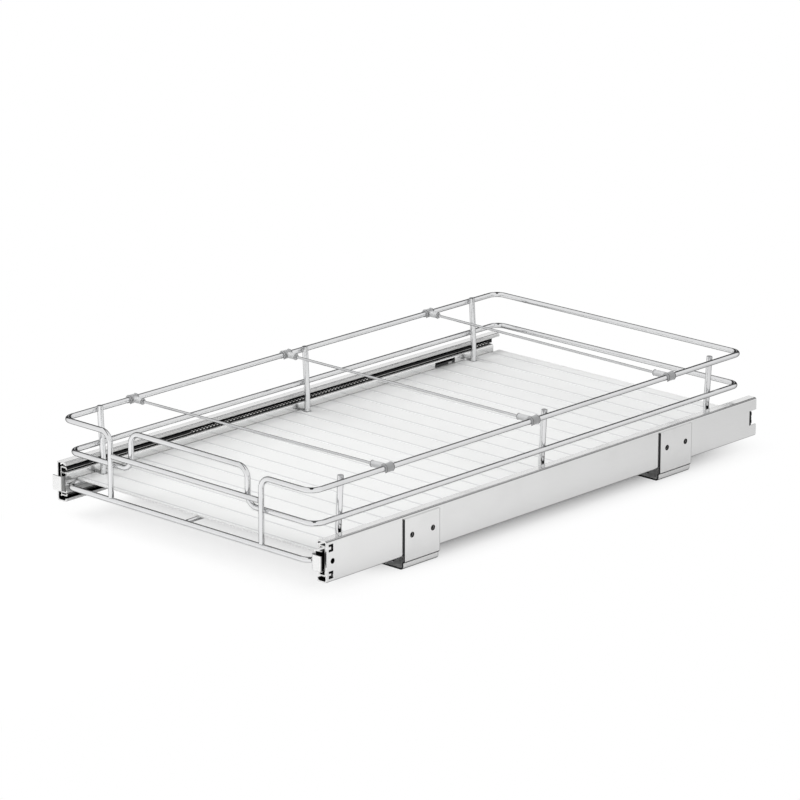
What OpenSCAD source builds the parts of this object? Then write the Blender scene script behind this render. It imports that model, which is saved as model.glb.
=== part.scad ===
// Pull-out cabinet basket: a bent wire basket carried between two
// three-part ball slides, which stand on four screwed brackets.
// Sizes in millimetres. +Z is up, the basket pulls out towards -Y,
// and the origin is the middle of the footprint at floor level.

/* [Slides] */
// Length of each closed slide behind its front stop
slide_len = 560; // [460:5:700]
// Width over the outer faces of both slides
frame_w = 321; // [280:1:560]
// Height of the outer member
slide_h = 35.8; // [34:0.1:40]
// Distance of the outer member's front edge behind the slide front
outer_front = 1.4; // [0.5:0.1:3]
// Distance of the middle member's rear end ahead of the slide's rear end
middle_rear_gap = 15; // [12:0.5:30]
// Depth of the outer member from its back to the edge of its lips
slide_depth = 10.8; // [10.4:0.1:11.2]
// Depth of a whole slide, from the outer back to the basket side
slide_t = 12.7; // [12.2:0.1:14]
// Thickness of the rolled slide sheet
sheet = 1.2; // [1:0.05:1.4]
// Depth between the back of the middle member and the drawer member
drawer_gap = 1.4; // [1.3:0.05:1.6]
// Height of the turned-in lips of the outer member
lip_h = 3.2; // [2.4:0.1:3.6]
// Diameter of the balls between the outer and the middle member
outer_ball = 3.4; // [3:0.1:3.8]
// Diameter of the balls between the middle and the drawer member
inner_ball = 2.6; // [2.2:0.1:2.8]
// Balls in each ball race
balls_per_race = 10; // [6:1:16]
// How far the basket pulls out
travel = 500; // [300:10:520]

/* [Slide ends] */
// Height of the front stops
stop_h = 13.2; // [10:0.1:15]
// How far the front stop stands ahead of the slide front
stop_reach = 4.8; // [4:0.1:8]
// Height of the notch and the stop tab at the rear of the outer member
notch_h = 13.6; // [10:0.1:15]
// Depth of that notch
rear_notch = 8; // [6:0.5:12]
// Distance of the stop tab's free end from the edge of the lips
tab_gap = 1.6; // [1.5:0.1:3]
// Thickness of the rubber bumper on the stop tab
bumper_t = 1; // [0.8:0.1:1.5]
// Diameter of the hole near the front end of the outer member
end_hole_d = 4.8; // [3:0.1:5.5]
// Distance of that hole and of the two slots from the slide front
end_hole_y = 8.6; // [7:0.1:12]

/* [Brackets] */
// Width of each bracket along the slide
bracket_w = 43; // [40:0.5:60]
// Thickness of the bracket plate
bracket_t = 1.5; // [1:0.1:2]
// Distance from each slide end to its nearer bracket
bracket_inset = 93.3; // [60:0.5:140]
// Height of the slides above the cabinet floor
foot_drop = 11.7; // [11.5:0.1:25]
// How far the foot reaches in under the slide
foot_len = 30; // [27:0.5:45]
// Distance between the bracket's top edge and the top of the slide
bracket_top_gap = 2.8; // [2:0.1:8]
// Outer radius of the bend between plate and foot
foot_bend_r = 3.5; // [2.5:0.1:4]
// Distance by which the plate steps in below the slide
bracket_step = 1.8; // [1:0.1:2.2]
// Diameter of the screw holes
screw_hole_d = 5; // [3.5:0.1:6]
// Distance between the two screw holes
screw_pitch = 25.4; // [20:0.1:30]
// Distance of the floor screw holes from the slide's outer face
floor_hole_u = 21.5; // [20:0.5:24]

/* [Wire basket] */
// Diameter of the frame and rail wire
wire_d = 4.8; // [4:0.1:5.6]
// Diameter of the cross wires with their uprights
upright_d = 5.2; // [4.4:0.1:6]
// Diameter of the lengthwise wire under the liner
centre_d = 3.6; // [3:0.1:4.4]
// Centre line radius of the bends in the frame and rail wires
bend_r = 10; // [8:0.5:12]
// Centre line radius of the bends in the cross wires
cross_bend_r = 5.4; // [5.4:0.1:6.5]
// How far the bottom frame sits below the middle of the slide's height
frame_drop = 1.3; // [0.5:0.1:2.5]
// Height of the lower rail above the slide's lower edge
lower_z = 46.6; // [42:0.1:49]
// Height of the straight front bar above the slide's lower edge
bar_z = 55.8; // [52:0.1:66]
// Height of the top rail above the slide's lower edge
top_z = 76.5; // [72:0.1:120]
// Height of the handle's top above the slide's lower edge
handle_z = 79.4; // [76:0.1:120]
// Height of the tips of the uprights above the slide's lower edge
upright_top = 80.8; // [78:0.1:130]
// Distance of the two front posts from the middle
post_x = 89.8; // [84:0.1:110]
// Distance of the two handle legs from the middle
handle_x = 69.5; // [50:0.5:76]
// Distance of the front wires ahead of the outer members
front_lead = 2.1; // [2:0.1:2.3]
// Distance of the rear wires ahead of the rear slide ends
rear_gap = 7.2; // [5:0.1:20]
// Distance of the front cross wire behind the slide front
upright_front = 36.5; // [30:0.5:60]
// Distance of the middle cross wire behind the slide front
upright_middle = 289; // [250:1:330]
// Distance of the rear cross wire ahead of the rear slide ends
upright_rear_gap = 47; // [40:1:70]
// Height at which the uprights start to lean outwards
kink_z = 35.8; // [32:0.1:38]
// Lean of the uprights in degrees
splay = 3.35; // [2:0.05:5]

/* [Liner] */
// Thickness of the liner sheet
liner_t = 1.4; // [1:0.1:1.6]
// Distance between the ribs of the liner
rib_pitch = 24; // [8:0.5:40]
// Distance of the first rib behind the liner's front edge
rib_inset = 3.5; // [2:0.5:20]
// Width of a rib
rib_w = 2; // [0.8:0.1:3]
// Height of a rib
rib_h = 0.3; // [0.2:0.05:0.4]
// Distance of the liner's front edge behind the slide front
liner_front = 12.4; // [6:0.1:20]
// Distance of the liner's rear edge ahead of the rear slide ends
liner_rear_gap = 2.8; // [2:0.1:10]

/* [Dividers] */
// Diameter of the divider wires
divider_d = 2.2; // [1.8:0.1:2.8]
// Length of the clip sleeve along the rail
sleeve_len = 9.4; // [7:0.1:11]
// Wall thickness of the clip sleeve
sleeve_wall = 1.45; // [1.2:0.05:1.8]
// Width of the snap slot along the sleeve's underside
sleeve_slot = 3; // [2:0.1:3.6]
// Reach of the left clips' stubs from the middle of the rail
left_stub = 13.2; // [12.8:0.1:26]
// Reach of the right clips' stubs from the middle of the rail
right_stub = 17.6; // [12.8:0.1:26]
// Diameter of the stub at the sleeve
stub_base_d = 5.8; // [5.4:0.1:7]
// Diameter of the stub at its tip
stub_tip_d = 5.4; // [4.8:0.1:6]
// Depth of the divider wire in the stub
stub_bore = 8; // [6:0.5:8.5]
// Distance of the front divider behind the front cross wire
front_divider_gap = 47; // [35:0.5:80]
// Distance of the middle divider ahead of the middle cross wire
middle_divider_gap = 19.5; // [14:0.5:60]
// Distance of the rear divider ahead of the rear cross wire
rear_divider_gap = 58.5; // [20:0.5:120]

/* [Release levers] */
// Distance of the lever's pivot ahead of the rear slide end
lever_pivot_gap = 57; // [45:0.5:90]
// Distance from the pivot to the free end of the lever
lever_len = 37; // [30:0.5:45]
// Thickness of the lever
lever_t = 2.5; // [2:0.1:3]
// Length of the finger pad
pad_len = 25.5; // [20:0.5:28]
// Height of the finger pad
pad_h = 2.6; // [2:0.1:2.8]
// Height of the finger pad above the ribs of the liner
pad_lift = 0.57; // [0.4:0.01:0.8]
// Distance of the finger pad from the lever's free end
pad_inset = 2.6; // [2:0.1:4]
// Diameter of the pivot rivet
rivet_d = 3; // [2.5:0.1:3.5]

/* [Hidden] */
$fn = 48;

left = -1;
right = 1;

// Gap between welded wires, which touch without cutting into each other
weld_gap = 0.03;
// Running clearance of a ball or a rail in its seat
run_gap = 0.05;
// Clearance of a pin or a wire that sits still in its hole
seat_gap = 0.02;
// Clearance between parts that only pass each other
pass_gap = 0.4;
// Overshoot of a cut past the face that it opens
past = 1;
// Swelling of the wire where an upright starts to lean
knuckle = 0.03;

// Y of the front ends of the outer members: the part is centred
y_front = (stop_reach - slide_len) / 2;

// Rolled members: d is measured inwards from the outer back of a slide
tab_y = slide_len - rear_notch;
outer_round = 2;
middle_round = 1.6;
drawer_round = 1.4;
mouth_gap = 1.2;
middle_back = sheet + mouth_gap;
middle_edge = slide_depth - pass_gap;
middle_top = slide_h - sheet - outer_ball - 2 * run_gap;
middle_bottom = slide_h - middle_top;
middle_lip = 2.6;
middle_front = 3;
middle_end = slide_len - middle_rear_gap;
drawer_edge = middle_back + sheet + drawer_gap;
drawer_top = middle_top - sheet - inner_ball - 2 * run_gap;
drawer_bottom = slide_h - drawer_top;
drawer_front = 0.5;
drawer_end = tab_y - sheet - bumper_t - pass_gap;

// Ball cages: as long as the overlap that is left at full travel
cage_sheet = 0.5;
strip_t = 0.9;
cage_margin = 7;
ball_end = 8;
outer_cage_y = travel / 4 + cage_margin;
outer_cage_len = middle_end - travel / 2 - 2 * cage_margin;
inner_cage_y = middle_front + travel / 4 + cage_margin;
inner_cage_len = drawer_end - travel / 2 - middle_front - 2 * cage_margin;
outer_ball_z = slide_h - sheet - run_gap - outer_ball / 2;
inner_ball_z = middle_top - sheet - run_gap - inner_ball / 2;
outer_ball_d = slide_depth / 2;
inner_ball_d = (middle_back + middle_edge) / 2;

// Slide ends
slot_w = 1.6;
slot_h = 6.5;
slot_in = 5.4;
slot_edge = 3.1;
stop_bend_r = 4;
stop_edge = 0.6;
rear_tab_r = 2.2;
rear_tab_reach = slide_depth - sheet - tab_gap;
bumper_inset = 0.2;
bumper_rim = 0.3;

// Brackets
step_drop = 4;
sheet_lap = 0.5;
foot_corner_r = 3;
bracket_hole_y = (bracket_w - screw_pitch) / 2;
front_bracket_y = bracket_inset;
rear_bracket_y = slide_len - bracket_inset - bracket_w;

// Basket wires, measured from the slide front and its lower edge
frame_z = slide_h / 2 - frame_drop;
frame_x = frame_w / 2 - slide_t - wire_d / 2 - weld_gap;
upright_x = frame_x - (wire_d + upright_d) / 2 - weld_gap;
centre_z = frame_z + (wire_d - centre_d) / 2;
cross_z = centre_z - (centre_d + upright_d) / 2 - weld_gap;
front_y = -front_lead;
rear_y = slide_len - rear_gap;
inner_front_y = front_y + wire_d + weld_gap;
cross_ys = [upright_front, upright_middle, slide_len - upright_rear_gap];
lower_x = rail_x(lower_z);
top_x = rail_x(top_z);

// Liner
liner_gap = 0.7;
liner_x = frame_w / 2 - slide_t - liner_gap;
liner_z = frame_z + wire_d / 2 + weld_gap;
liner_end = slide_len - liner_rear_gap;

// Dividers: the two ends of each one are slid a little out of square
divider_skews = [8, 0, -7];
divider_ys = [
    cross_ys[0] + front_divider_gap,
    cross_ys[1] - middle_divider_gap,
    cross_ys[2] - rear_divider_gap
];
stub_start = 3;
stub_base_len = 4;

// Release lever, in the slide's own coordinates
lever_y = slide_len - lever_pivot_gap;
lever_d = slide_t - sheet - 0.3 - lever_t;
lever_drop = 3;
lever_top_gap = 2.4;
lever_low = slide_h / 2 - lever_drop;
lever_high = drawer_top - sheet - lever_top_gap;
lever_pivot_z = (lever_low + lever_high) / 2;
lever_end_r = 4.5;
pad_z = liner_z + liner_t + rib_h + pad_lift;
pad_y = lever_y - lever_len + pad_inset;
pad_out = 0.7;
window_gap = 0.3;
window_top = drawer_top - sheet - 0.2;
rivet_head_d = 5;
rivet_head_t = 0.8;
rivet_head_gap = 0.3;

// Half the distance between a rail's two sides at the height z,
// to a hundredth of a millimetre
function rail_x(z) = round(100 * (
    upright_x + (z - kink_z) * tan(splay)
    + (wire_d + upright_d) / 2 / cos(splay) + weld_gap
)) / 100;

function unit(v) = v / norm(v);

// Length that a bend of radius r takes off both wires that meet at b
function bend_cut(a, b, c, r) = r * tan(acos(unit(b - a) * unit(c - b)) / 2);

// ---- Placing ----

// Children drawn from the slide front, the middle and its lower edge
module in_basket() {
    translate([0, y_front, foot_drop])
        children();
}

// Children drawn with x inwards from the outer face of one slide
module on_slide(side) {
    translate([side * frame_w / 2, y_front, foot_drop])
        if (side == right)
            mirror([1, 0, 0]) children();
        else
            children();
}

// A flat x-z section drawn out from y1 back to y2
module along_y(y1, y2) {
    translate([0, y2, 0])
        rotate([90, 0, 0])
            linear_extrude(y2 - y1)
                children();
}

// A flat y-z outline drawn out from x1 to x2
module along_x(x1, x2) {
    translate([x1, 0, 0])
        rotate([90, 0, 90])
            linear_extrude(x2 - x1)
                children();
}

// ---- Flat shapes ----

// Rectangle with rounded corners, its lower left corner at the origin
module rounded(w, h, r) {
    translate([r, 0]) square([w - 2 * r, h]);
    translate([0, r]) square([w, h - 2 * r]);
    for (x = [r, w - r], y = [r, h - r])
        translate([x, y]) circle(r);
}

// Section of a rolled channel that opens towards +x with turned-in lips
module channel(depth, height, lip, r) {
    difference() {
        rounded(depth, height, r);
        translate([sheet, sheet])
            rounded(depth - 2 * sheet, height - 2 * sheet, r - sheet / 2);
        translate([depth - sheet - past / 2, lip])
            square([sheet + past, height - 2 * lip]);
    }
}

// Section of a plain channel that opens towards +x, with no lips
module open_channel(depth, height, r) {
    difference() {
        rounded(depth + r, height, r);
        translate([sheet, sheet])
            rounded(depth + r, height - 2 * sheet, r - sheet / 2);
        translate([depth, -past])
            square([r + past, height + 2 * past]);
    }
}

// Quarter of a flat ring about the origin, from +x round to -y
module quarter_ring(r, t) {
    intersection() {
        difference() {
            circle(r);
            circle(r - t);
        }
        translate([0, -r]) square(r);
    }
}

// ---- Wire ----

// Straight round wire from a to b
module rod(a, b, d) {
    v = b - a;
    translate(a)
        rotate([0, acos(v.z / norm(v)), atan2(v.y, v.x)])
            cylinder(d = d, h = norm(v));
}

// Round bend that turns the wire from a to b towards c
module bend(a, b, c, d, r) {
    u = unit(b - a);
    w = unit(c - b);
    turn = acos(u * w);
    axis = unit(cross(u, w));
    middle = b + unit(w - u) * r / cos(turn / 2);
    out = unit(b - u * bend_cut(a, b, c, r) - middle);
    multmatrix([
        [out.x, u.x, axis.x, middle.x],
        [out.y, u.y, axis.y, middle.y],
        [out.z, u.z, axis.z, middle.z],
        [0, 0, 0, 1]
    ])
        rotate_extrude(angle = turn)
            translate([r, 0])
                circle(d = d);
}

// One wire bent along the points, open at both ends
module wire_path(points, d, r) {
    last = len(points) - 1;
    for (i = [0 : last - 1]) {
        a = points[i];
        b = points[i + 1];
        dir = unit(b - a);
        start_cut = i == 0 ? 0 : bend_cut(points[i - 1], a, b, r);
        end_cut = i == last - 1 ? 0 : bend_cut(a, b, points[i + 2], r);
        rod(a + dir * start_cut, b - dir * end_cut, d);
        if (i > 0)
            bend(points[i - 1], a, b, d, r);
    }
}

// One wire bent along the points and welded into a closed ring
module wire_ring(points, d, r) {
    count = len(points);
    for (i = [0 : count - 1]) {
        before = points[(i + count - 1) % count];
        a = points[i];
        b = points[(i + 1) % count];
        after = points[(i + 2) % count];
        dir = unit(b - a);
        bend(before, a, b, d, r);
        rod(a + dir * bend_cut(before, a, b, r), b - dir * bend_cut(a, b, after, r), d);
    }
}

// ---- Slides ----

// Lanced slot near the front end: a bracket shape open to the front
module lance(low) {
    slot_end = end_hole_y + slot_w / 2;
    for (z = [low, low + slot_h - slot_w])
        translate([-past, slot_end - slot_in, z])
            cube([sheet + 2 * past, slot_in, slot_w]);
    translate([-past, slot_end - slot_w, low])
        cube([sheet + 2 * past, slot_w, slot_h]);
}

// The screw holes of both brackets, through everything on the slide's back
module side_screw_holes() {
    for (y = [front_bracket_y, rear_bracket_y], dy = [0, screw_pitch])
        translate([-bracket_t - past, y + bracket_hole_y + dy, slide_h / 2])
            rotate([0, 90, 0])
                cylinder(d = screw_hole_d, h = bracket_t + sheet + 2 * past);
}

module outer_member(side) {
    notch_z = (slide_h - notch_h) / 2;
    color([0.8, 0.81, 0.82])
        on_slide(side) {
            difference() {
                along_y(outer_front, slide_len)
                    channel(slide_depth, slide_h, lip_h, outer_round);
                side_screw_holes();
                translate([-past, end_hole_y, slide_h / 2])
                    rotate([0, 90, 0])
                        cylinder(d = end_hole_d, h = sheet + 2 * past);
                lance(slot_edge);
                lance(slide_h - slot_edge - slot_h);
                translate([-past, tab_y - rear_tab_r, notch_z])
                    cube([sheet + 2 * past, rear_notch + rear_tab_r + past, notch_h]);
            }
            translate([rear_tab_r, tab_y - rear_tab_r, notch_z])
                linear_extrude(notch_h)
                    rotate(180) quarter_ring(rear_tab_r, sheet);
            translate([rear_tab_r, tab_y - sheet, notch_z])
                cube([rear_tab_reach - rear_tab_r, sheet, notch_h]);
        }
}

// Rubber bumper, pushed over the rear stop tab from its free end
module rear_bumper(side) {
    bumper_z = (slide_h - notch_h) / 2 + bumper_rim;
    color([0.06, 0.06, 0.065])
        on_slide(side)
            translate([0, 0, bumper_z])
                linear_extrude(notch_h - 2 * bumper_rim)
                    difference() {
                        translate([bumper_inset, tab_y - sheet - bumper_t])
                            square([
                                rear_tab_reach + bumper_t - bumper_inset,
                                sheet + 2 * bumper_t
                            ]);
                        translate([rear_tab_r, tab_y - rear_tab_r])
                            circle(rear_tab_r + seat_gap);
                        translate([-past, tab_y - rear_tab_r - past])
                            square([past + rear_tab_r, past + rear_tab_r / 4]);
                        translate([rear_tab_r, tab_y - sheet - seat_gap])
                            square([
                                rear_tab_reach - rear_tab_r + seat_gap,
                                sheet + 2 * seat_gap
                            ]);
                    }
}

module middle_member(side) {
    color([0.72, 0.73, 0.74])
        on_slide(side)
            along_y(middle_front, middle_end)
                translate([middle_back, middle_bottom])
                    channel(
                        middle_edge - middle_back,
                        middle_top - middle_bottom,
                        middle_lip, middle_round
                    );
}

module drawer_member(side) {
    stop_z = (slide_h - stop_h) / 2;
    face = slide_t - sheet;
    color([0.82, 0.83, 0.84])
        on_slide(side) {
            difference() {
                along_y(drawer_front, drawer_end)
                    translate([slide_t, drawer_bottom])
                        mirror([1, 0])
                            open_channel(
                                slide_t - drawer_edge,
                                drawer_top - drawer_bottom,
                                drawer_round
                            );
                translate([face - past, pad_y - 2 * window_gap, pad_z - window_gap])
                    cube([
                        sheet + 2 * past,
                        pad_len + 6 * window_gap,
                        window_top - pad_z + window_gap
                    ]);
                translate([face - past, lever_y, lever_pivot_z])
                    rotate([0, 90, 0])
                        cylinder(d = rivet_d + 2 * seat_gap, h = sheet + 2 * past);
            }
            translate([face, stop_bend_r - stop_reach, stop_z])
                cube([sheet, drawer_front + stop_reach - stop_bend_r, stop_h]);
            translate([slide_t - stop_bend_r, stop_bend_r - stop_reach, stop_z])
                linear_extrude(stop_h)
                    quarter_ring(stop_bend_r, sheet);
            translate([stop_edge, -stop_reach, stop_z])
                cube([slide_t - stop_bend_r - stop_edge, sheet, stop_h]);
        }
}

// Places of the balls along one race
function ball_ys(y, length) = [
    for (i = [0 : balls_per_race - 1])
        y + ball_end + i * (length - 2 * ball_end) / (balls_per_race - 1)
];

// U-shaped ball retainer: a thin back and a drilled strip in each race
module cage(back, edge, ball_z, ball_d, ball_in, y, length) {
    difference() {
        union() {
            translate([back, y, slide_h - ball_z])
                cube([cage_sheet, length, 2 * ball_z - slide_h]);
            for (z = [ball_z, slide_h - ball_z])
                translate([back, y, z - strip_t / 2])
                    cube([edge - back, length, strip_t]);
        }
        for (by = ball_ys(y, length), z = [ball_z, slide_h - ball_z])
            translate([ball_in, by, z - strip_t / 2 - past])
                cylinder(d = ball_d + 2 * run_gap, h = strip_t + 2 * past);
    }
}

module ball_row(ball_z, ball_d, ball_in, y, length) {
    for (by = ball_ys(y, length), z = [ball_z, slide_h - ball_z])
        translate([ball_in, by, z])
            sphere(d = ball_d);
}

module outer_cage(side) {
    color([0.1, 0.1, 0.11])
        on_slide(side)
            cage(
                sheet + (mouth_gap - cage_sheet) / 2,
                slide_depth - sheet - pass_gap,
                outer_ball_z, outer_ball, outer_ball_d,
                outer_cage_y, outer_cage_len
            );
}

module outer_balls(side) {
    color([0.75, 0.76, 0.78])
        on_slide(side)
            ball_row(outer_ball_z, outer_ball, outer_ball_d, outer_cage_y, outer_cage_len);
}

module inner_cage(side) {
    color([0.1, 0.1, 0.11])
        on_slide(side)
            cage(
                middle_back + sheet + (drawer_edge - middle_back - sheet - cage_sheet) / 2,
                middle_edge - sheet - pass_gap,
                inner_ball_z, inner_ball, inner_ball_d,
                inner_cage_y, inner_cage_len
            );
}

module inner_balls(side) {
    color([0.75, 0.76, 0.78])
        on_slide(side)
            ball_row(inner_ball_z, inner_ball, inner_ball_d, inner_cage_y, inner_cage_len);
}

// ---- Brackets ----

// Section of the foot with the bend and the lowest part of the plate
module foot_section(height) {
    difference() {
        rounded(foot_len + foot_bend_r, height + foot_bend_r, foot_bend_r);
        translate([bracket_t, bracket_t])
            rounded(2 * foot_len, 2 * foot_len, foot_bend_r - bracket_t);
        translate([foot_len - bracket_step + bracket_t, -past])
            square([foot_len, height + foot_bend_r + 2 * past]);
        translate([-past, height])
            square([foot_len + past, height + foot_bend_r]);
    }
}

// Section of a bracket: side plate, small step inwards, bend and foot
module bracket_section() {
    step_in = bracket_step - bracket_t;
    top_z = slide_h - bracket_top_gap;
    low_z = -step_drop - bracket_step;
    polygon([
        [-bracket_t, -step_drop],
        [step_in, low_z],
        [step_in, low_z - 2 * sheet_lap],
        [bracket_step, low_z - 2 * sheet_lap],
        [bracket_step, low_z],
        [0, -step_drop],
        [0, top_z],
        [-bracket_t, top_z]
    ]);
    translate([step_in, -foot_drop])
        foot_section(low_z - sheet_lap + foot_drop);
}

module bracket(side, y) {
    color([0.84, 0.85, 0.85])
        on_slide(side)
            difference() {
                intersection() {
                    along_y(y, y + bracket_w) bracket_section();
                    translate([-foot_len, y, -foot_drop - past])
                        linear_extrude(slide_h + foot_drop + 2 * past)
                            rounded(2 * foot_len, bracket_w, foot_corner_r);
                }
                side_screw_holes();
                for (dy = [0, screw_pitch])
                    translate([floor_hole_u, y + bracket_hole_y + dy, -foot_drop - past])
                        cylinder(d = screw_hole_d, h = bracket_t + 2 * past);
            }
}

// ---- Release levers ----

module lever(side) {
    lever_h = lever_high - lever_low;
    color([0.09, 0.09, 0.1])
        on_slide(side)
            difference() {
                union() {
                    along_x(lever_d, lever_d + lever_t)
                        translate([lever_y - lever_len, lever_low])
                            rounded(lever_len + lever_end_r, lever_h, lever_h / 2 - 0.5);
                    translate([lever_d + lever_t, pad_y, pad_z])
                        cube([
                            slide_t + pad_out - lever_d - lever_t,
                            pad_len,
                            pad_h
                        ]);
                }
                translate([lever_d - past, lever_y, lever_pivot_z])
                    rotate([0, 90, 0])
                        cylinder(d = rivet_d + 2 * run_gap, h = lever_t + 2 * past);
            }
}

module lever_rivet(side) {
    color([0.75, 0.76, 0.78])
        on_slide(side)
            translate([lever_d - rivet_head_gap - rivet_head_t, lever_y, lever_pivot_z])
                rotate([0, 90, 0]) {
                    cylinder(d = rivet_head_d, h = rivet_head_t);
                    cylinder(
                        d = rivet_d,
                        h = slide_t - lever_d + rivet_head_gap + rivet_head_t
                    );
                }
}

// ---- Wire basket ----

module bottom_frame() {
    color([0.86, 0.87, 0.89])
        in_basket()
            wire_ring([
                [-frame_x, front_y, frame_z],
                [frame_x, front_y, frame_z],
                [frame_x, rear_y, frame_z],
                [-frame_x, rear_y, frame_z]
            ], wire_d, bend_r);
}

module centre_wire() {
    inset = wire_d / 2 + weld_gap;
    color([0.86, 0.87, 0.89])
        in_basket()
            rod([0, front_y + inset, centre_z], [0, rear_y - inset, centre_z], centre_d);
}

// One upright above its bend: plumb up to the kink, then leaning outwards
module upright(side) {
    translate([side * upright_x, 0, 0]) {
        translate([0, 0, cross_z + cross_bend_r])
            cylinder(d = upright_d, h = kink_z - cross_z - cross_bend_r);
        translate([0, 0, kink_z]) {
            sphere(d = upright_d + 2 * knuckle);
            rotate([0, side * splay, 0])
                cylinder(d = upright_d, h = (upright_top - kink_z) / cos(splay));
        }
    }
}

// Cross wire under the liner with an upright at each end
module cross_wire(y) {
    foot = cross_z + cross_bend_r;
    run = upright_x - cross_bend_r;
    color([0.84, 0.85, 0.87])
        in_basket()
            translate([0, y, 0]) {
                rod([-run, 0, cross_z], [run, 0, cross_z], upright_d);
                bend(
                    [-upright_x, 0, foot],
                    [-upright_x, 0, cross_z],
                    [0, 0, cross_z],
                    upright_d, cross_bend_r
                );
                bend(
                    [0, 0, cross_z],
                    [upright_x, 0, cross_z],
                    [upright_x, 0, foot],
                    upright_d, cross_bend_r
                );
                for (side = [left, right])
                    upright(side);
            }
}

// Top rail: its two ends turn down in front as posts on the bottom frame
module top_rail() {
    post_foot = frame_z + wire_d / 2 + weld_gap;
    color([0.86, 0.87, 0.89])
        in_basket()
            wire_path([
                [-post_x, front_y, post_foot],
                [-post_x, front_y, top_z],
                [-top_x, front_y, top_z],
                [-top_x, rear_y, top_z],
                [top_x, rear_y, top_z],
                [top_x, front_y, top_z],
                [post_x, front_y, top_z],
                [post_x, front_y, post_foot]
            ], wire_d, bend_r);
}

// Lower rail: it passes behind the posts and rises between them as the handle
module handle_rail() {
    color([0.86, 0.87, 0.89])
        in_basket()
            wire_ring([
                [-lower_x, inner_front_y, lower_z],
                [-handle_x, inner_front_y, lower_z],
                [-handle_x, inner_front_y, handle_z],
                [handle_x, inner_front_y, handle_z],
                [handle_x, inner_front_y, lower_z],
                [lower_x, inner_front_y, lower_z],
                [lower_x, rear_y, lower_z],
                [-lower_x, rear_y, lower_z]
            ], wire_d, bend_r);
}

module front_bar() {
    reach = post_x - wire_d / 2 - weld_gap;
    color([0.86, 0.87, 0.89])
        in_basket()
            rod([-reach, front_y, bar_z], [reach, front_y, bar_z], wire_d);
}

// ---- Liner ----

// Ribbed sheet, notched where the uprights pass it
module liner() {
    first_rib = liner_front + rib_inset;
    notch_start = upright_x - upright_d / 2 - liner_gap;
    notch_w = upright_d + 2 * liner_gap;
    color([0.93, 0.94, 0.94])
        in_basket()
            difference() {
                union() {
                    translate([-liner_x, liner_front, liner_z])
                        cube([2 * liner_x, liner_end - liner_front, liner_t]);
                    for (y = [first_rib : rib_pitch : liner_end - rib_inset])
                        translate([-liner_x, y - rib_w / 2, liner_z])
                            cube([2 * liner_x, rib_w, liner_t + rib_h]);
                }
                for (y = cross_ys, side = [left, right])
                    translate([
                        side == left ? -liner_x - past : notch_start,
                        y - notch_w / 2,
                        liner_z - past
                    ])
                        cube([
                            liner_x + past - notch_start,
                            notch_w,
                            liner_t + rib_h + 2 * past
                        ]);
            }
}

// ---- Dividers ----

// Children drawn from one rail, with x pointing at the other end of the wire
module on_rail(i, side) {
    lean = atan2(divider_skews[i], 2 * top_x);
    in_basket()
        translate([side * top_x, divider_ys[i] + side * divider_skews[i] / 2, top_z])
            rotate([0, 0, side == left ? lean : lean + 180])
                children();
}

module divider_wire(i) {
    span = norm([2 * top_x, divider_skews[i]]);
    wire_inset = seat_gap - stub_bore;
    color([0.86, 0.87, 0.89])
        on_rail(i, left)
            rod(
                [left_stub + wire_inset, 0, 0],
                [span - right_stub - wire_inset, 0, 0],
                divider_d
            );
}

// Plastic T-clip: a slotted sleeve on the rail and a stub for the wire
module clip(i, side) {
    bore = wire_d + 2 * run_gap;
    lean = atan2(divider_skews[i], 2 * top_x);
    stub_reach = side == left ? left_stub : right_stub;
    color([0.66, 0.67, 0.68])
        difference() {
            union() {
                on_rail(i, side)
                    rotate([0, 0, -lean])
                        translate([0, sleeve_len / 2, 0])
                            rotate([90, 0, 0])
                                cylinder(d = bore + 2 * sleeve_wall, h = sleeve_len);
                on_rail(i, side)
                    rotate([0, 90, 0]) {
                        translate([0, 0, stub_start])
                            cylinder(d = stub_base_d, h = stub_base_len);
                        translate([0, 0, stub_start + stub_base_len])
                            cylinder(
                                d1 = stub_base_d,
                                d2 = stub_tip_d,
                                h = stub_reach - stub_start - stub_base_len
                            );
                    }
            }
            on_rail(i, side)
                rotate([0, 0, -lean]) {
                    translate([0, sleeve_len / 2 + past, 0])
                        rotate([90, 0, 0])
                            cylinder(d = bore, h = sleeve_len + 2 * past);
                    translate([-sleeve_slot / 2, -sleeve_len / 2 - past, -bore])
                        cube([sleeve_slot, sleeve_len + 2 * past, bore]);
                }
            on_rail(i, side)
                translate([stub_reach - stub_bore, 0, 0])
                    rotate([0, 90, 0])
                        cylinder(d = divider_d + 2 * seat_gap, h = stub_bore + past);
        }
}

outer_member(left);  // outer_member_left
outer_member(right);  // outer_member_right
rear_bumper(left);  // rear_bumper_left
rear_bumper(right);  // rear_bumper_right
bracket(left, front_bracket_y);  // bracket_front_left
bracket(right, front_bracket_y);  // bracket_front_right
bracket(left, rear_bracket_y);  // bracket_rear_left
bracket(right, rear_bracket_y);  // bracket_rear_right
middle_member(left);  // middle_member_left
middle_member(right);  // middle_member_right
outer_cage(left);  // outer_cage_left
outer_cage(right);  // outer_cage_right
outer_balls(left);  // outer_balls_left
outer_balls(right);  // outer_balls_right
inner_cage(left);  // inner_cage_left
inner_cage(right);  // inner_cage_right
inner_balls(left);  // inner_balls_left
inner_balls(right);  // inner_balls_right
drawer_member(left);  // drawer_member_left
drawer_member(right);  // drawer_member_right
lever(left);  // lever_left
lever(right);  // lever_right
lever_rivet(left);  // lever_rivet_left
lever_rivet(right);  // lever_rivet_right
bottom_frame();
centre_wire();
cross_wire(cross_ys[0]);  // cross_wire_front
cross_wire(cross_ys[1]);  // cross_wire_middle
cross_wire(cross_ys[2]);  // cross_wire_rear
top_rail();
handle_rail();
front_bar();
liner();
divider_wire(0);  // divider_wire_front
divider_wire(1);  // divider_wire_middle
divider_wire(2);  // divider_wire_rear
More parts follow.
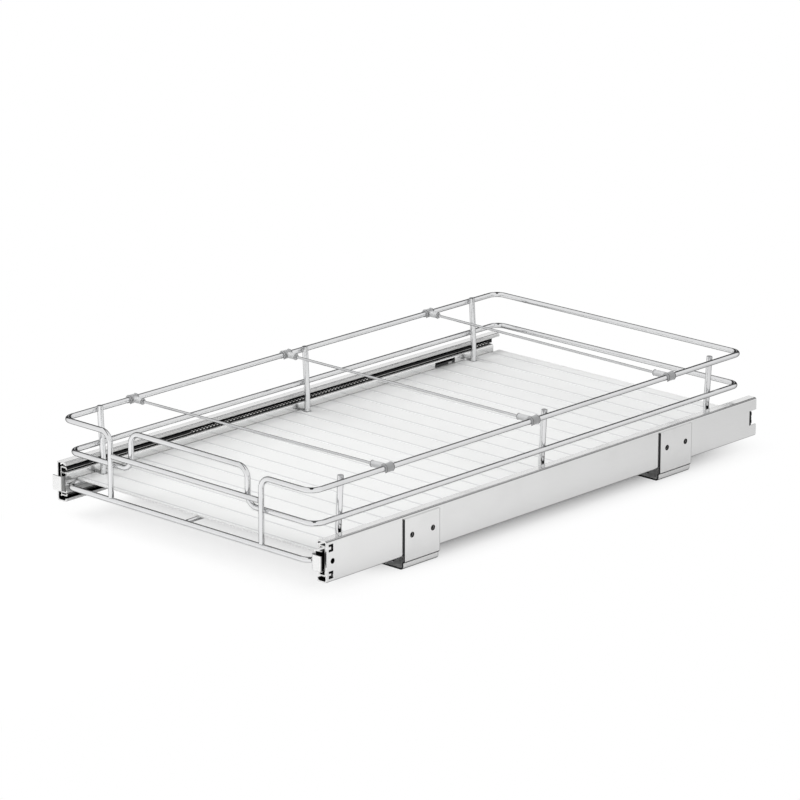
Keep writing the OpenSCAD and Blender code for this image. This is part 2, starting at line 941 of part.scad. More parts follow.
clip(0, left);  // clip_front_left
clip(0, right);  // clip_front_right
clip(1, left);  // clip_middle_left
clip(1, right);  // clip_middle_right
clip(2, left);  // clip_rear_left
clip(2, right);  // clip_rear_right
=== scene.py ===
"""Looks of the pull-out cabinet basket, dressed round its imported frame.

Everything is in metres in the frame's own axes: +Z up, -Y the pull direction. A pair whose
name ends in an axis is a range along it, and x ranges are distances from the middle plane.
A mask is a node value that is 1 in a region and 0 outside it.
"""

import math

import bmesh
import bpy
from mathutils import Matrix, Vector


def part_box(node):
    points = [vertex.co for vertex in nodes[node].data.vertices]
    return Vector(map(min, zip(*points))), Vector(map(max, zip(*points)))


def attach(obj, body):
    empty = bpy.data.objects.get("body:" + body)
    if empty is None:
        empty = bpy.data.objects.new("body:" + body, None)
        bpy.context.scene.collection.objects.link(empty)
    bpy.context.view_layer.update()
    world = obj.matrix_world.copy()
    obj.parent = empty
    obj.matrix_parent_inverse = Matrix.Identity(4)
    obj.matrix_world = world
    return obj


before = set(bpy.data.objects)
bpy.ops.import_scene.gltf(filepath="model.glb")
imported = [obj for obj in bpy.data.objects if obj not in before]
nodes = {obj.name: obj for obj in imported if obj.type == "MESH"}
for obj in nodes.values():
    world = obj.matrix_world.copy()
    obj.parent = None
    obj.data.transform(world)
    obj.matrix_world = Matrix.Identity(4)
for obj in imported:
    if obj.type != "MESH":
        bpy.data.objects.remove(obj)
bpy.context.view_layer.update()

# ---- Camera: the photograph's viewing angle ----

AZIMUTH = math.radians(42.95)
ELEVATION = math.radians(16.77)
ROLL = math.radians(0.08)
DISTANCE = 3.7579
FOCAL_PX = 4315.0
FRAME_PX = 800.0
SENSOR_MM = 36.0
CLIP_RANGE = (0.05, 60.0)
TARGET = Vector((0.01027, -0.0276, 0.08214))


def add_camera():
    back = Vector((
        math.sin(AZIMUTH) * math.cos(ELEVATION),
        -math.cos(AZIMUTH) * math.cos(ELEVATION),
        math.sin(ELEVATION),
    ))
    right = Vector((math.cos(AZIMUTH), math.sin(AZIMUTH), 0.0))
    up = back.cross(right)
    c, s = math.cos(ROLL), math.sin(ROLL)
    right, up = c * right + s * up, c * up - s * right
    data = bpy.data.cameras.new("photo_camera")
    data.sensor_fit = "HORIZONTAL"
    data.sensor_width = SENSOR_MM
    data.lens = FOCAL_PX / FRAME_PX * SENSOR_MM
    data.clip_start, data.clip_end = CLIP_RANGE
    camera = bpy.data.objects.new("photo_camera", data)
    bpy.context.scene.collection.objects.link(camera)
    turn = Matrix((right, up, back)).transposed().to_4x4()
    camera.matrix_world = Matrix.Translation(TARGET + back * DISTANCE) @ turn
    bpy.context.scene.camera = camera


# ---- Node helpers ----

BEVEL_SAMPLES = 4


class Tree:
    """Short hand for building one node tree."""

    def __init__(self, tree):
        self.tree = tree
        tree.nodes.clear()

    def node(self, kind, inputs=None, **props):
        """A new node; inputs gives sockets, by name or number, their link or value."""
        n = self.tree.nodes.new(kind)
        for key, value in props.items():
            setattr(n, key, value)
        for key, value in (inputs or {}).items():
            self.put(n.inputs[key], value)
        return n

    def put(self, socket, value):
        if isinstance(value, bpy.types.NodeSocket):
            self.tree.links.new(value, socket)
        elif isinstance(value, bpy.types.Node):
            self.tree.links.new(value.outputs[0], socket)
        else:
            socket.default_value = value

    def math(self, op, a, b=0.0, clamp=False):
        n = self.node("ShaderNodeMath", {0: a, 1: b}, operation=op, use_clamp=clamp)
        return n.outputs[0]

    def ramp(self, value, lo, hi, out_lo=0.0, out_hi=1.0, smooth=True):
        """out_lo where value is up to lo, out_hi from hi on, and a slope between them."""
        n = self.node("ShaderNodeMapRange", {0: value, 1: lo, 2: hi, 3: out_lo, 4: out_hi},
                      clamp=True, interpolation_type="SMOOTHSTEP" if smooth else "LINEAR")
        return n.outputs[0]

    def mix(self, factor, a, b):
        """Colour a where factor is 0, and b where it is 1."""
        return self.node("ShaderNodeMix", {0: factor, 6: a, 7: b}, data_type="RGBA").outputs[2]

    def blend(self, factor, a, b):
        """Shader a where factor is 0, and b where it is 1."""
        return self.node("ShaderNodeMixShader", {0: factor, 1: a, 2: b}).outputs[0]

    def split(self, output="Object"):
        """X, Y and Z of the object's own place, or of its normal, which are cosines."""
        coord = self.node("ShaderNodeTexCoord").outputs[output]
        return self.node("ShaderNodeSeparateXYZ", {"Vector": coord}).outputs

    def mirrored(self):
        """Distance from the middle plane, and Y and Z of the object's own place."""
        x, y, z = self.split()
        return self.math("ABSOLUTE", x), y, z

    def within(self, value, lo, hi, soft=0.00015):
        """1 where value lies between lo and hi, with a soft border."""
        up = self.ramp(value, lo - soft, lo + soft, smooth=False)
        down = self.ramp(value, hi - soft, hi + soft, 1.0, 0.0, smooth=False)
        return self.math("MULTIPLY", up, down)

    def combined(self, op, masks):
        total = masks[0]
        for mask in masks[1:]:
            total = self.math(op, total, mask)
        return total

    def all_of(self, *masks):
        """The product of masks or plain factors."""
        return self.combined("MULTIPLY", masks)

    def any_of(self, *masks):
        return self.combined("MAXIMUM", masks)

    def outside(self, mask):
        return self.math("SUBTRACT", 1.0, mask)

    def raised(self, value, mask, amount):
        """value, with amount added where the mask is 1."""
        return self.math("ADD", value, self.math("MULTIPLY", mask, amount))

    def noise(self, scale, detail=3.0, rough=0.5, stretch=None):
        coord = self.node("ShaderNodeTexCoord").outputs["Object"]
        if stretch:
            coord = self.node("ShaderNodeMapping", {"Vector": coord, "Scale": stretch}).outputs[0]
        return self.node("ShaderNodeTexNoise", {
            "Vector": coord, "Scale": scale, "Detail": detail, "Roughness": rough,
        }).outputs[0]

    def uneven(self, scale, lo, hi, detail=3.0, rough=0.5, span=(0.3, 0.7)):
        """Noise, of which the values in span are spread over lo to hi."""
        return self.ramp(self.noise(scale, detail, rough), *span, lo, hi)


def rgba(r, g=None, b=None):
    if g is None:
        g = b = r
    return (r, g, b, 1.0)


def shade_of(tint, factor):
    return rgba(*[c * factor for c in tint])


def from_base(base, span):
    """The range span, counted from base."""
    return base + span[0], base + span[1]


def new_material(name):
    mat = bpy.data.materials.new(name)
    mat.use_nodes = True
    return mat, Tree(mat.node_tree)


def finish_material(mat, t, color, rough, metallic, bump, strength, distance, edge=0.0,
                    **sockets):
    """One Principled surface with a varied colour, roughness and bump, and softened edges."""
    relief = t.node("ShaderNodeBump", {"Strength": strength, "Distance": distance, "Height": bump})
    if edge:
        rounded = t.node("ShaderNodeBevel", {"Radius": edge}, samples=BEVEL_SAMPLES)
        t.put(relief.inputs["Normal"], rounded)
    inputs = {"Base Color": color, "Roughness": rough, "Metallic": metallic, "Normal": relief}
    inputs.update({key.replace("_", " "): value for key, value in sockets.items()})
    shader = t.node("ShaderNodeBsdfPrincipled", inputs)
    t.node("ShaderNodeOutputMaterial", {"Surface": shader})
    return mat


def worn(t, base, dark, amount, scale):
    """Base colour, with patches a little darker, like handled or dusty plating."""
    patches = t.uneven(scale, 0.0, amount, detail=4.0, rough=0.6, span=(0.45, 0.75))
    return t.mix(patches, base, dark)


# ---- Places of the shapes ----

WIRE_R = 0.0024                      # rails, bottom frame and front bar
UPRIGHT_R = 0.0026
RAIL_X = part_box("top_rail")[1][0] - WIRE_R
LINER_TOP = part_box("liner")[1][2]

SLIDE_Y = -0.2776                    # front ends of the slides
SLIDE_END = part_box("outer_member_right")[1][1]
SLIDE_LOW, SLIDE_TOP = 0.0117, 0.0475
OUTER_X = 0.1605                     # outer faces of the slides
WEB_X = (0.1590, 0.1592)             # where the outer channel's web begins
LIP_X = (0.1488, 0.1499)             # curled edges of the outer channel
CUT_END = 0.004                      # only faces this near the slides' ends are sawn
BEND = (0.0001, 0.0011)              # painted dark reflection line, counted from the slide's top or foot
BEND_X = (-0.0010, -0.0006)          # where it begins, counted from OUTER_X
STOP_Y = (-0.0012, -0.0008)          # rear of the front stop, counted from SLIDE_Y
FRONT_END_Y = (0.011, 0.015)         # end of the slides' front part, counted from SLIDE_Y

# Lanced slots by the outer channel's front end. The y ranges count from SLIDE_Y, and the z
# ranges from the slot's foot. Each slot has its foot above SLIDE_LOW and its tongue's lit core.
SLOTS = ((0.0031, (0.0028, 0.0045)), (0.0262, (0.0021, 0.0044)))
TONGUE_Y, TONGUE_Z = (0.0040, 0.0080), (0.0014, 0.0051)
CORE_Y = (0.0030, 0.0067)

# Middle member: its lips' faces and edges, and painted light dots that stand for the ball cage.
MIDDLE_FACE_X = (0.1499, 0.1503)
MIDDLE_EDGES_Z = ((0.04015, 0.0406), (0.0187, 0.01915))
CAGE_Y = ((-0.126, 0.104), (0.246, 0.266))
CAGE_ROWS = ((0.0, (0.0417, 0.0428)), (0.5, (0.0402, 0.0412)))    # shift in pitches, z range
CAGE_PITCHES = 238.0                 # per metre
CAGE_BAR = (0.15, 0.60)              # part of one pitch

BRACKET_BACKS = [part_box("bracket_" + place + "_right")[1][1] for place in ("front", "rear")]
BRACKET_BACK_EDGE = (-0.0008, -0.0001)    # darker band, counted from the bracket's back
BRACKET_STEP_Z = (0.0056, 0.0079)
BRACKET_BORES_Z = (0.014, 0.043)
BRACKET_UNDER_Z = (0.0013, 0.0019)
BRACKET_FOOT_Z = (0.0030, 0.0050)

SLEEVE_X = (-0.0052, -0.0040)        # inner end of a clip's sleeve, counted from RAIL_X
RIB_FLANK_Z = (-0.00022, -0.00012)   # counted from LINER_TOP
CATCH_X, CATCH_Y, CATCH_Z = (0.146, 0.1484), (0.2078, 0.2128), (0.0333, 0.0352)

# ---- Materials ----

ZINC = (0.80, 0.80, 0.798)
# Grease and painted shade inside the slides' channels.
GREASE_AND_SHADE = rgba(0.018, 0.018, 0.019)
# Grease and painted shade on the middle members.
DEEP_GREASE_AND_SHADE = rgba(0.016, 0.016, 0.017)
# Painted shade on the brackets' sheared edges, bores, step and underside.
BRACKET_SHADE = rgba(0.045, 0.045, 0.047)
# Painted dark reflection in the slides' bends.
BEND_SHADE = rgba(0.12, 0.12, 0.122)
BACK_EDGE_DARK = rgba(0.12)
# Painted light on the top of the brackets' feet, which lie in shade.
FOOT_PAINTED_LIGHT = rgba(0.95)
CATCH_GREY = rgba(0.5)
ZINC_METAL = 0.96
SHEET_EDGE = 0.00025                 # bevels
MOULDED_EDGE = 0.0003
PLATING_DEPTH = 0.00006              # heights of the bump
GRAIN_DEPTH = 0.0001

# Cosines between a face's normal and an axis, at which a mask begins and is full.
SAWN_FACE = (0.35, 0.6)
OUTWARD_FACE = (0.5, 0.8)
STOP_FRONT_FACE = (-0.93, -0.75)
SHEARED_FACE = (0.55, 0.8)
DOWNWARD_FACE = (-0.55, -0.3)
BORE_FACE = (0.3, 0.5)
UPWARD_FACE = (0.5, 0.8)


def make_chrome(name, tint, rough_lo, rough_hi):
    mat, t = new_material(name)
    color = worn(t, rgba(*tint), shade_of(tint, 0.86), amount=0.45, scale=35.0)
    rough = t.uneven(90.0, rough_lo, rough_hi, detail=4.0, rough=0.6, span=(0.3, 0.75))
    ripple = t.noise(420.0, detail=2.0)
    return finish_material(mat, t, color, rough, metallic=1.0, bump=ripple, strength=0.012,
                           distance=GRAIN_DEPTH, Specular_Tint=rgba(0.0))


def zinc_base(t, tint):
    """Colour, roughness and rolling lines of satin zinc plate."""
    color = worn(t, rgba(*tint), shade_of(tint, 0.93), amount=0.5, scale=28.0)
    lines = t.noise(900.0, rough=0.6, stretch=(1.0, 0.03, 1.0))
    clouds = t.uneven(45.0, 0.09, 0.16, detail=4.0, rough=0.55, span=(0.3, 0.75))
    return color, t.raised(clouds, lines, 0.04), lines


def not_cut_end(t):
    """1 on faces along the slide, 0 on its sawn ends."""
    along = t.math("ABSOLUTE", t.split("Normal")[1])
    return t.ramp(along, *SAWN_FACE, 1.0, 0.0, smooth=False)


def outward(t):
    """1 on faces that look away from the basket, 0 on the others and by the front end."""
    x, y, _ = t.split()
    away = t.all_of(t.math("SIGN", x), t.split("Normal")[0])
    return t.all_of(t.ramp(away, *OUTWARD_FACE, smooth=False),
                    t.ramp(y, *from_base(SLIDE_Y, FRONT_END_Y)))


def lanced(t, y, z, low, core):
    """The shaded, pushed-in rim of the tongue inside a lanced slot."""
    tongue = t.all_of(t.within(y, *from_base(SLIDE_Y, TONGUE_Y)),
                      t.within(z, *from_base(low, TONGUE_Z)))
    lit = t.all_of(t.within(y, *from_base(SLIDE_Y, CORE_Y)),
                   t.within(z, *from_base(low, core)))
    return t.math("SUBTRACT", tongue, lit, clamp=True)


def make_slide(name, tint, hollow_x, hollow_z, from_y):
    """Zinc outside; inside the channel, grease and painted shade make it near black.

    hollow_x counts from OUTER_X and hollow_z from SLIDE_LOW. Grease and shade begin at from_y.
    """
    mat, t = new_material(name)
    color, rough, lines = zinc_base(t, tint)
    x, y, z = t.mirrored()
    # Grease and painted shade inside the channel, and on outward faces by the front end.
    inside = t.all_of(
        t.within(x, *from_base(OUTER_X, hollow_x)),
        t.within(z, *from_base(SLIDE_LOW, hollow_z), soft=0.0003),
        t.ramp(y, *from_base(from_y, (-0.0002, 0.0002)), smooth=False),
        t.any_of(not_cut_end(t), t.within(y, SLIDE_Y + CUT_END, SLIDE_END - CUT_END)),
        t.outside(outward(t)),
    )
    # Painted shade on the rim round each lanced tongue's lit core.
    rims = [t.all_of(lanced(t, y, z, SLIDE_LOW + low, core), t.ramp(x, *WEB_X))
            for low, core in SLOTS]
    # Painted shade on the sides of the drawer member's front stop.
    stop_sides = t.all_of(t.ramp(y, *from_base(SLIDE_Y, STOP_Y), 0.72, 0.0),
                          t.ramp(t.split("Normal")[1], *STOP_FRONT_FACE))
    inside = t.any_of(inside, *rims, stop_sides)
    # Painted dark reflection along the outer channel's upper and lower bends.
    bend = t.any_of(t.within(z, SLIDE_TOP - BEND[1], SLIDE_TOP - BEND[0]),
                    t.within(z, *from_base(SLIDE_LOW, BEND)))
    bend = t.all_of(bend, t.ramp(x, *from_base(OUTER_X, BEND_X)), 0.85)
    color = t.mix(inside, t.mix(bend, color, BEND_SHADE), GREASE_AND_SHADE)
    lip = t.within(x, *LIP_X)
    rough = t.raised(rough, t.any_of(inside, lip), 0.35)
    metallic = t.raised(ZINC_METAL, lip, -0.75)
    return finish_material(mat, t, color, rough, metallic, bump=lines, strength=0.03,
                           distance=PLATING_DEPTH, edge=SHEET_EDGE)


def cage_dots(t, y, z, cage):
    """Painted highlights: the ball cage's bars, as two rows of light dots, some dimmer."""
    rows = []
    for shift, row_z in CAGE_ROWS:
        part = t.math("FRACT", t.math("ADD", t.math("MULTIPLY", y, CAGE_PITCHES), shift))
        rows.append(t.all_of(t.within(part, *CAGE_BAR, soft=0.06),
                             t.within(z, *row_z, soft=0.0001)))
    dull = t.uneven(90.0, 0.55, 1.0, detail=2.0, rough=0.6, span=(0.35, 0.6))
    return t.all_of(t.any_of(*rows), dull, cage)


def make_middle(name):
    """Painted shade and grease, with zinc lip edges and painted light dots for the ball cage."""
    mat, t = new_material(name)
    color, rough, lines = zinc_base(t, (0.80, 0.80, 0.79))
    x, y, z = t.mirrored()
    cage = t.any_of(*[t.within(y, *span, soft=0.002) for span in CAGE_Y])
    edges = t.any_of(*[t.within(z, *span, soft=0.0001) for span in MIDDLE_EDGES_Z])
    edges = t.all_of(edges, 0.75, t.outside(cage))
    light = t.all_of(t.within(x, *MIDDLE_FACE_X, soft=0.0001),
                     t.any_of(edges, cage_dots(t, y, z, cage)))
    # Sawn ends stay zinc; outward faces behind the front part get a fifth of painted shade.
    light = t.any_of(light, t.outside(not_cut_end(t)), t.all_of(outward(t), 0.8))
    color = t.mix(light, DEEP_GREASE_AND_SHADE, color)
    return finish_material(mat, t, color, t.math("ADD", rough, 0.25), metallic=0.9, bump=lines,
                           strength=0.04, distance=PLATING_DEPTH)


def make_bracket(name, tint):
    """Zinc plate: painted shade on edges, bores, step, underside; painted light on the foot."""
    mat, t = new_material(name)
    color, rough, lines = zinc_base(t, tint)
    _, y, z = t.split()
    face_x, face_y, face_z = t.split("Normal")
    # A darker band along each bracket's back edge.
    back_edge = t.any_of(*[t.within(y, *from_base(back, BRACKET_BACK_EDGE)) for back in BRACKET_BACKS])
    color = t.mix(t.all_of(back_edge, 0.35), color, BACK_EDGE_DARK)
    # Painted shade on the sheared edges, the step's downward face, the bores and the underside.
    sheared = t.ramp(t.math("ABSOLUTE", face_y), *SHEARED_FACE, smooth=False)
    step = t.all_of(t.within(z, *BRACKET_STEP_Z, soft=0.0003),
                    t.ramp(face_z, *DOWNWARD_FACE, 1.0, 0.0, smooth=False))
    bores = t.all_of(t.within(z, *BRACKET_BORES_Z, soft=0.0005),
                     t.ramp(t.math("ABSOLUTE", face_x), *BORE_FACE, 1.0, 0.0, smooth=False))
    under = t.ramp(z, *BRACKET_UNDER_Z, 0.97, 0.0)
    dark = t.any_of(sheared, step, bores, under)
    # Painted light: the foot's top lies in the slide's shade, yet is pale, dull and not metal.
    foot = t.all_of(t.ramp(z, *BRACKET_FOOT_Z, 1.0, 0.0), t.ramp(face_z, *UPWARD_FACE))
    color = t.mix(foot, t.mix(dark, color, BRACKET_SHADE), FOOT_PAINTED_LIGHT)
    rough = t.raised(rough, t.any_of(dark, foot), 0.4)
    metallic = t.raised(ZINC_METAL, foot, -0.9)
    return finish_material(mat, t, color, rough, metallic, bump=lines, strength=0.03,
                           distance=PLATING_DEPTH, edge=SHEET_EDGE)


def finish_plastic(mat, t, color, rough, grain=700.0, strength=0.12, **sockets):
    """Moulded surface with a fine grain."""
    return finish_material(mat, t, color, rough, metallic=0.0,
                           bump=t.noise(grain, detail=2.0, rough=0.6), strength=strength,
                           distance=GRAIN_DEPTH, edge=MOULDED_EDGE, **sockets)


def make_plastic(name, tint, rough_lo, rough_hi, **finish):
    mat, t = new_material(name)
    color = worn(t, rgba(*tint), shade_of(tint, 0.88), amount=0.35, scale=80.0)
    return finish_plastic(mat, t, color, t.uneven(120.0, rough_lo, rough_hi), **finish)


def make_clip(name):
    """Grey moulding: the gripping sleeve is a tone darker than the stub."""
    mat, t = new_material(name)
    sleeve = t.ramp(t.mirrored()[0], *from_base(RAIL_X, SLEEVE_X))
    light = worn(t, rgba(0.56, 0.565, 0.57), rgba(0.49), amount=0.4, scale=150.0)
    dark = worn(t, rgba(0.45, 0.455, 0.46), rgba(0.38), amount=0.5, scale=150.0)
    return finish_plastic(mat, t, t.mix(sleeve, light, dark), t.uneven(160.0, 0.3, 0.42),
                          grain=800.0)


def make_lever(name):
    """Black pad with a small light catch at its rear."""
    mat, t = new_material(name)
    x, y, z = t.mirrored()
    catch = t.all_of(t.within(y, *CATCH_Y, soft=0.0003), t.within(z, *CATCH_Z, soft=0.0002),
                     t.within(x, *CATCH_X, soft=0.0002))
    color = worn(t, rgba(0.022, 0.022, 0.024), rgba(0.012), amount=0.5, scale=200.0)
    return finish_plastic(mat, t, t.mix(catch, color, CATCH_GREY), t.uneven(200.0, 0.34, 0.5))


def make_liner(name):
    """White ribbed sheet: the flanks of the low ribs hold a little shade."""
    mat, t = new_material(name)
    color = worn(t, rgba(0.90, 0.905, 0.90), rgba(0.87, 0.875, 0.87), amount=0.5, scale=22.0)
    rib = t.ramp(t.split()[2], *from_base(LINER_TOP, RIB_FLANK_Z), smooth=False)
    color = t.mix(rib, color, rgba(0.72, 0.725, 0.73))
    grain = t.noise(300.0, detail=2.0, rough=0.6, stretch=(1.0, 0.25, 1.0))
    return finish_material(mat, t, color, t.uneven(60.0, 0.3, 0.42), metallic=0.0, bump=grain,
                           strength=0.05, distance=GRAIN_DEPTH)


CHROME = make_chrome("chrome_wire", (0.80, 0.803, 0.81), 0.025, 0.06)
THIN = make_chrome("chrome_divider", (0.64, 0.643, 0.65), 0.03, 0.08)
WELD = make_chrome("chrome_weld", (0.72, 0.725, 0.73), 0.10, 0.22)
OUTER = make_slide("zinc_outer", ZINC, hollow_x=(-0.0105, -0.0007), hollow_z=(0.0009, 0.0349),
                   from_y=-1.0)
DRAWER = make_slide("zinc_drawer", (0.86, 0.86, 0.857), hollow_x=(-0.0118, 0.0001),
                    hollow_z=(0.0095, 0.0263), from_y=-0.2766)
MIDDLE = make_middle("zinc_middle")
BRACKET = make_bracket("zinc_bracket", ZINC)
STEEL = make_chrome("steel_balls", (0.70, 0.70, 0.71), 0.12, 0.25)
BLACK = make_plastic("black_plastic", (0.018, 0.018, 0.02), 0.35, 0.5)
RUBBER = make_plastic("black_rubber", (0.012, 0.012, 0.013), 0.6, 0.75, strength=0.3,
                      Specular_IOR_Level=0.15)
LEVER = make_lever("black_lever")
GREY = make_clip("grey_clip")
# Painted shade: the clips' rims and stub collars are a darker grey than the clips.
RIM = make_plastic("grey_rim", (0.21, 0.212, 0.215), 0.3, 0.42)
LINER = make_liner("white_liner")

MATERIAL_OF = {
    "outer_member": OUTER, "bracket": BRACKET, "middle_member": MIDDLE, "rear_bumper": RUBBER,
    "outer_cage": BLACK, "inner_cage": BLACK, "outer_balls": STEEL, "inner_balls": STEEL,
    "drawer_member": DRAWER, "lever_rivet": STEEL, "lever": LEVER, "bottom_frame": CHROME,
    "centre_wire": CHROME, "cross_wire": CHROME, "top_rail": CHROME, "handle_rail": CHROME,
    "front_bar": CHROME, "liner": LINER, "divider_wire": THIN, "clip": GREY,
}

for name, obj in nodes.items():
    key = max((k for k in MATERIAL_OF if name.startswith(k)), key=len)
    obj.data.materials.clear()
    obj.data.materials.append(MATERIAL_OF[key])

# ---- Pieces that the solids leave out ----

SIDES = ((-1, "left"), (1, "right"))
PLACES = ("front", "middle", "rear")

# An upright's centre line is plumb up to the kink and leans out above it.
UPRIGHT_FOOT_X, UPRIGHT_KINK_Z = 0.14034, 0.0475
UPRIGHT_LEAN = math.tan(math.radians(3.35))
HANDLE_LEG_X = 0.0695

# Weld beads, as half sizes along x, y and z.
UPRIGHT_BEAD = (0.0011, 0.0020, 0.0021)
POST_FOOT_BEAD = (0.0022, 0.0019, 0.0010)
CROSSING_BEAD = (0.0020, 0.0010, 0.0020)
BAR_END_BEAD = (0.0010, 0.0021, 0.0021)

SLEEVE_DROP = 0.0039                 # from a clip's top to the sleeve's axis
SLEEVE_HALF = 0.0042                 # from the sleeve's middle to a rim
SLEEVE_GAP = 0.44                    # half the angle that a rim leaves open below
STUB_TIP = {"left": 0.0126, "right": 0.0170}    # collar's distance from the rail
SLEEVE_RIM, STUB_RIM = (0.00375, 0.00042), (0.00265, 0.00035)    # radius and half thickness

# A bumper's three lobes, each with its height above the middle and its half height, as parts
# of the bumper's half height, and its half depth in metres.
LOBES = ((-0.55, 0.42, 0.0018), (0.0, 0.32, 0.0012), (0.55, 0.42, 0.0018))
LOBE_X, LOBE_HALF_WIDTH = 0.1588, 0.0014
LOBE_BACK = 0.0006                   # from the bumper's back to the lobes' middle


def mesh_piece(name, bm, material, body):
    mesh = bpy.data.meshes.new(name)
    bm.to_mesh(mesh)
    bm.free()
    for face in mesh.polygons:
        face.use_smooth = True
    mesh.materials.append(material)
    obj = bpy.data.objects.new(name, mesh)
    bpy.context.scene.collection.objects.link(obj)
    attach(obj, body)


def middle_of(name, axis):
    low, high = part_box(name)
    return (low[axis] + high[axis]) / 2


def add_bead(bm, place, half):
    """One lumpy bead: a flattened drop with two slow waves, which begin elsewhere in each bead."""
    phase_y, phase_x = 911.0 * place[1], 463.0 * place[0]
    drop = bmesh.ops.create_icosphere(bm, subdivisions=2, radius=1.0)
    for v in drop["verts"]:
        wobble = 1.0 + 0.07 * math.sin(5.1 * v.co.x + 3.3 * v.co.y + phase_y)
        wobble += 0.05 * math.sin(6.7 * v.co.z + phase_x)
        v.co = Vector([place[i] + v.co[i] * half[i] * wobble for i in range(3)])


def upright_x_at(z):
    return UPRIGHT_FOOT_X + max(0.0, z - UPRIGHT_KINK_Z) * UPRIGHT_LEAN


def add_welds():
    """Beads in the nips between the welded wires."""
    bm = bmesh.new()
    cross_y = [middle_of("cross_wire_" + n, 1) for n in PLACES]
    top_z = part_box("top_rail")[1][2] - WIRE_R
    low_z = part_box("handle_rail")[0][2] + WIRE_R
    bottom_z = middle_of("bottom_frame", 2)
    bar_z = middle_of("front_bar", 2)
    front_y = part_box("bottom_frame")[0][1] + WIRE_R
    nip_y = front_y + WIRE_R
    post_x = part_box("front_bar")[1][0] + WIRE_R
    for side, _ in SIDES:
        for y in cross_y:
            for z in (top_z, low_z, bottom_z):
                add_bead(bm, (side * (upright_x_at(z) + UPRIGHT_R), y, z), UPRIGHT_BEAD)
        add_bead(bm, (side * post_x, front_y, bottom_z + WIRE_R), POST_FOOT_BEAD)
        add_bead(bm, (side * post_x, nip_y, low_z), CROSSING_BEAD)
        add_bead(bm, (side * (post_x - WIRE_R), front_y, bar_z), BAR_END_BEAD)
        add_bead(bm, (side * HANDLE_LEG_X, nip_y, bar_z), CROSSING_BEAD)
    mesh_piece("weld_beads", bm, WELD, "basket")


def add_ring(bm, centre, axis, radius, thick, gap=0.0, steps=40, sides=8):
    """A thin moulded rim about axis; gap leaves its lowest part open."""
    axis = Vector(axis).normalized()
    down = (Vector((0, 0, -1)) + axis * axis.z).normalized()
    across = axis.cross(down)
    rows = []
    for i in range(steps + 1 if gap else steps):
        turn = gap + (2 * math.pi - 2 * gap) * i / steps
        out = down * math.cos(turn) + across * math.sin(turn)
        row = []
        for k in range(sides):
            a = 2 * math.pi * k / sides
            row.append(bm.verts.new(Vector(centre) + out * (radius + thick * math.cos(a))
                                    + axis * thick * math.sin(a)))
        rows.append(row)
    for i in range(steps):
        a, b = rows[i], rows[(i + 1) % len(rows)]
        for k in range(sides):
            bm.faces.new((a[k], a[(k + 1) % sides], b[(k + 1) % sides], b[k]))
    if gap:
        bm.faces.new(list(reversed(rows[0])))
        bm.faces.new(rows[-1])


def add_clip_rims():
    """Rolled rims at both ends of each clip's sleeve and a collar at the stub's tip."""
    for which in PLACES:
        y_of = {word: middle_of(f"clip_{which}_{word}", 1) for _, word in SIDES}
        for side, word in SIDES:
            other = "left" if word == "right" else "right"
            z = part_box(f"clip_{which}_{word}")[1][2] - SLEEVE_DROP
            y = y_of[word]
            along_wire = Vector((2 * RAIL_X * -side, y_of[other] - y, 0)).normalized()
            bm = bmesh.new()
            for end in (-1, 1):
                add_ring(bm, (side * RAIL_X, y + end * SLEEVE_HALF, z), (0, 1, 0), *SLEEVE_RIM,
                         gap=SLEEVE_GAP)
            tip = Vector((side * RAIL_X, y, z)) + along_wire * STUB_TIP[word]
            add_ring(bm, tip, along_wire, *STUB_RIM)
            bmesh.ops.recalc_face_normals(bm, faces=bm.faces)
            # The rims carry a darker grey as painted shade.
            mesh_piece(f"clip_rims_{which}_{word}", bm, RIM, "divider_" + which)


def add_bumper_lobes():
    """The moulded rubber lobes by which each rear bumper is buttoned through its tab."""
    for side, word in SIDES:
        low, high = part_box("rear_bumper_" + word)
        middle, half = (low[2] + high[2]) / 2, (high[2] - low[2]) / 2
        bm = bmesh.new()
        for shift, tall, deep in LOBES:
            add_bead(bm, (side * LOBE_X, high[1] + LOBE_BACK, middle + shift * half),
                     (LOBE_HALF_WIDTH, deep, tall * half))
        mesh_piece("bumper_lobes_" + word, bm, RUBBER, "base")


add_welds()
add_clip_rims()
add_bumper_lobes()

# ---- Stage ----

FLOOR_REACH = 9.0
FLOOR_WHITE = rgba(0.96)

# The floor's shaded band, which the camera sees narrow and metal sees wide.
NARROW_X = (0.129, 0.187)
NARROW_FALL, NARROW_DEPTH = 1.6, 0.92
WIDE_X = (((0.145, 0.195), 0.92), ((0.165, 0.255), 0.62))    # each with its depth
BAND_FRONT_Y, BAND_REAR_Y = (-0.26, -0.12), (0.20, 0.32)
BAND_IN_FRONT = 0.25                 # what the camera sees of it in front of the object

# What metal sees of the white floor: painted shade, duller to the rear, dusky at the left front.
DULL_Y, DULL_TONE = (-0.20, 0.42), 0.76
DUSK_X, DUSK_Y, DUSK_DEPTH = (-0.15, 0.05), (-0.42, -0.27), 0.75    # x with its sign

WORLD_LEVEL = 0.39                   # light that the walls give to everything but metal
WALL, PANEL = 0.93, 0.03             # what bright and dark walls show in metal

# Directions that rays may take. The level ones are behind the object and to its right, as the
# camera sees it. A ray's part along a direction is 1 straight that way.
BEHIND, RIGHTWARD = (-0.682, 0.732), (0.732, 0.682)
WINDOW_WAY, WINDOW_EDGE = (-0.652, 0.700, 0.2885), (0.978, 0.990)
PANEL_HEIGHT, PANEL_EDGE = (0.09, 0.70), (0.62, 0.86)
SLIT_WIDTH, SLIT_FOOT, SLIT_END = (-0.15, 0.15), (0.60, 0.70), (-0.80, -0.70)


